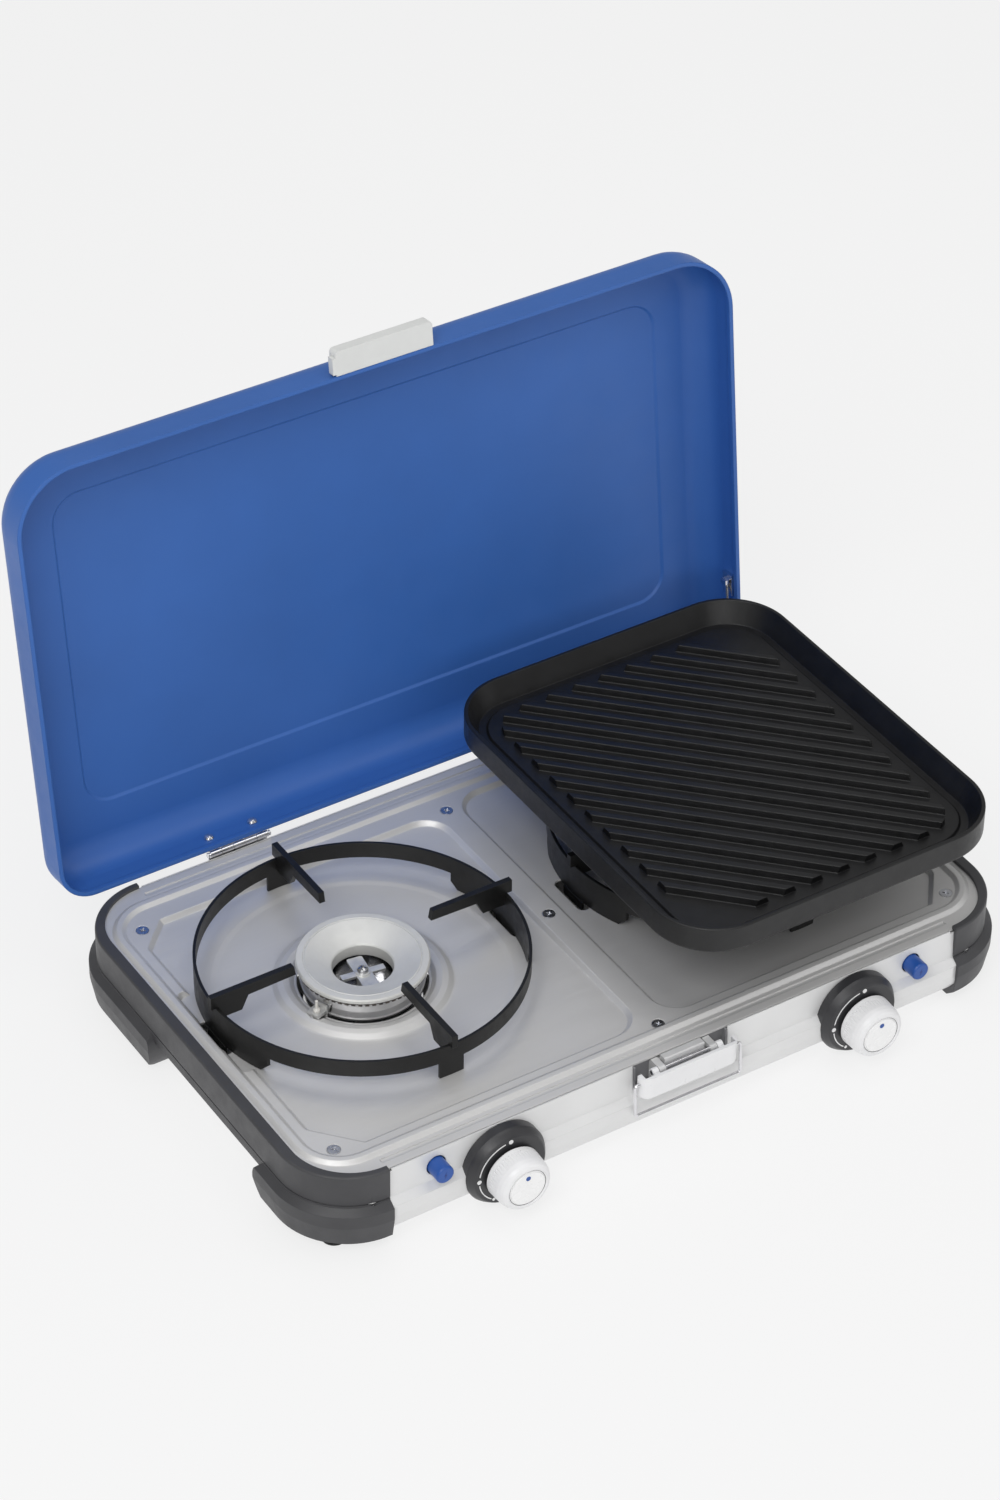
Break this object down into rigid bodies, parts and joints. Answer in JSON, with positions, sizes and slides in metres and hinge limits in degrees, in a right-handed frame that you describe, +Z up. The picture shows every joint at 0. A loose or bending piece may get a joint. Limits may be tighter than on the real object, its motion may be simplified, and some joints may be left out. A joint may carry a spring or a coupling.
{
  "type": "camping stove",
  "caption": "Two-burner gas camping stove with hinged lid, lift-off pan supports and a ribbed grill plate over one burner",
  "frame": {"origin": "on the ground, under the middle of the body (lid left out)", "axes": "+X to the right seen from the knobs, +Y from the knobs to the lid, +Z up"},
  "size_m": [0.5544, 0.4333, 0.4016],
  "materials": {
    "lid_blue": "satin powder coat",
    "plate_steel": "satin",
    "panel_silver": "satin",
    "bumper_grey": "fine grain",
    "foot_rubber": "matte",
    "screw_steel": "zinc plated",
    "burner_chrome": "polished",
    "flame_steel": "dull",
    "cap_grey": "satin",
    "tube_aluminium": "cast",
    "spark_ceramic": "glazed",
    "spark_bracket": "plated",
    "lead_jacket": "matte",
    "unit_plastic": "matte",
    "spring_steel": "drawn",
    "bezel_plastic": "satin",
    "print_white": "matte",
    "brass": "machined",
    "hinge_chrome": "polished",
    "catch_grey": "satin",
    "pocket_grey": "satin",
    "mount_silver": "satin",
    "white_plastic": "satin",
    "blue_plastic": "satin",
    "black_enamel": "enamel",
    "grill_black": "non-stick coated"
  },
  "bodies": {
    "base": {"base_tray": "panel_silver", "top_plate": "plate_steel", "bumper_left": "bumper_grey", "bumper_right": "bumper_grey", "foot_pads": "foot_rubber", "plate_screws": "screw_steel", "burner_cup_left": "burner_chrome", "burner_cup_right": "burner_chrome", "flame_ring_left": "flame_steel", "flame_ring_right": "flame_steel", "burner_cap_left": "cap_grey", "burner_cap_right": "cap_grey", "burner_tie_bars": "flame_steel", "burner_screws": "screw_steel", "mixing_tubes": "tube_aluminium", "spark_electrodes": "spark_ceramic", "spark_clips": "spark_bracket", "spark_leads": "lead_jacket", "spark_unit_left": "unit_plastic", "spark_unit_right": "unit_plastic", "spark_spring_left": "spring_steel", "spark_spring_right": "spring_steel", "bezel_left": "bezel_plastic", "bezel_right": "bezel_plastic", "bezel_marks": "print_white", "gas_valves": "brass", "gas_rail": "tube_aluminium", "gas_inlet": "brass", "base_hinge_leaves": "hinge_chrome", "base_hinge_rivets": "screw_steel", "hinge_pins": "hinge_chrome", "brace_eye": "hinge_chrome", "latch_pocket": "pocket_grey", "latch_mount": "mount_silver", "latch_pin": "hinge_chrome"},
    "lid": {"lid_shell": "lid_blue", "lid_catch": "catch_grey", "catch_rivets": "screw_steel", "lid_hinge_leaves": "hinge_chrome", "lid_screws": "hinge_chrome", "lid_brace": "hinge_chrome", "brace_clip": "hinge_chrome"},
    "left_knob": {"knob_left": "white_plastic", "knob_face_left": "white_plastic", "knob_dot_left": "blue_plastic", "valve_stem_left": "spring_steel"},
    "right_knob": {"knob_right": "white_plastic", "knob_face_right": "white_plastic", "knob_dot_right": "blue_plastic", "valve_stem_right": "spring_steel"},
    "left_button": {"spark_button_left": "blue_plastic"},
    "right_button": {"spark_button_right": "blue_plastic"},
    "lever": {"latch_lever": "white_plastic"},
    "bail": {"latch_bail": "hinge_chrome"},
    "left_support": {"pan_ring_left": "black_enamel", "pan_arms_left": "black_enamel"},
    "right_support": {"pan_ring_right": "black_enamel", "pan_arms_right": "black_enamel"},
    "grill": {"grill_plate": "grill_black"}
  },
  "joints": [
    {"name": "lid_hinge", "type": "hinge", "parent": "base", "child": "lid", "pos_m": [0, 0.1635, 0.063], "axis": [-1, 0, 0], "range_deg": [-42, 0]},
    {"name": "knob_left_turn", "type": "hinge", "parent": "base", "child": "left_knob", "pos_m": [-0.138, -0.18, 0.0305], "axis": [0, -1, 0], "range_deg": [0, 150]},
    {"name": "knob_right_turn", "type": "hinge", "parent": "base", "child": "right_knob", "pos_m": [0.138, -0.18, 0.0305], "axis": [0, -1, 0], "range_deg": [0, 150]},
    {"name": "spark_left_press", "type": "slide", "parent": "base", "child": "left_button", "axis": [0, 1, 0], "range_m": [0, 0.004], "stiffness_N_per_m": 600, "springref_m": -0.004, "deforming": ["spark_spring_left"]},
    {"name": "spark_right_press", "type": "slide", "parent": "base", "child": "right_button", "axis": [0, 1, 0], "range_m": [0, 0.004], "stiffness_N_per_m": 600, "springref_m": -0.004, "deforming": ["spark_spring_right"]},
    {"name": "latch_lever_pivot", "type": "hinge", "parent": "base", "child": "lever", "pos_m": [0, -0.1696, 0.0554], "axis": [-1, 0, 0], "range_deg": [0, 85]},
    {"name": "latch_bail_pivot", "type": "hinge", "parent": "lever", "child": "bail", "pos_m": [0, -0.1715, 0.0514], "axis": [-1, 0, 0], "range_deg": [0, 150]},
    {"name": "left_support_lift", "type": "slide", "parent": "base", "child": "left_support", "axis": [0, 0, 1], "range_m": [0, 0.12]},
    {"name": "right_support_lift", "type": "slide", "parent": "base", "child": "right_support", "axis": [0, 0, 1], "range_m": [0, 0.12]},
    {"name": "grill_lift", "type": "slide", "parent": "right_support", "child": "grill", "axis": [0, 0, 1], "range_m": [0, 0.12]}
  ]
}
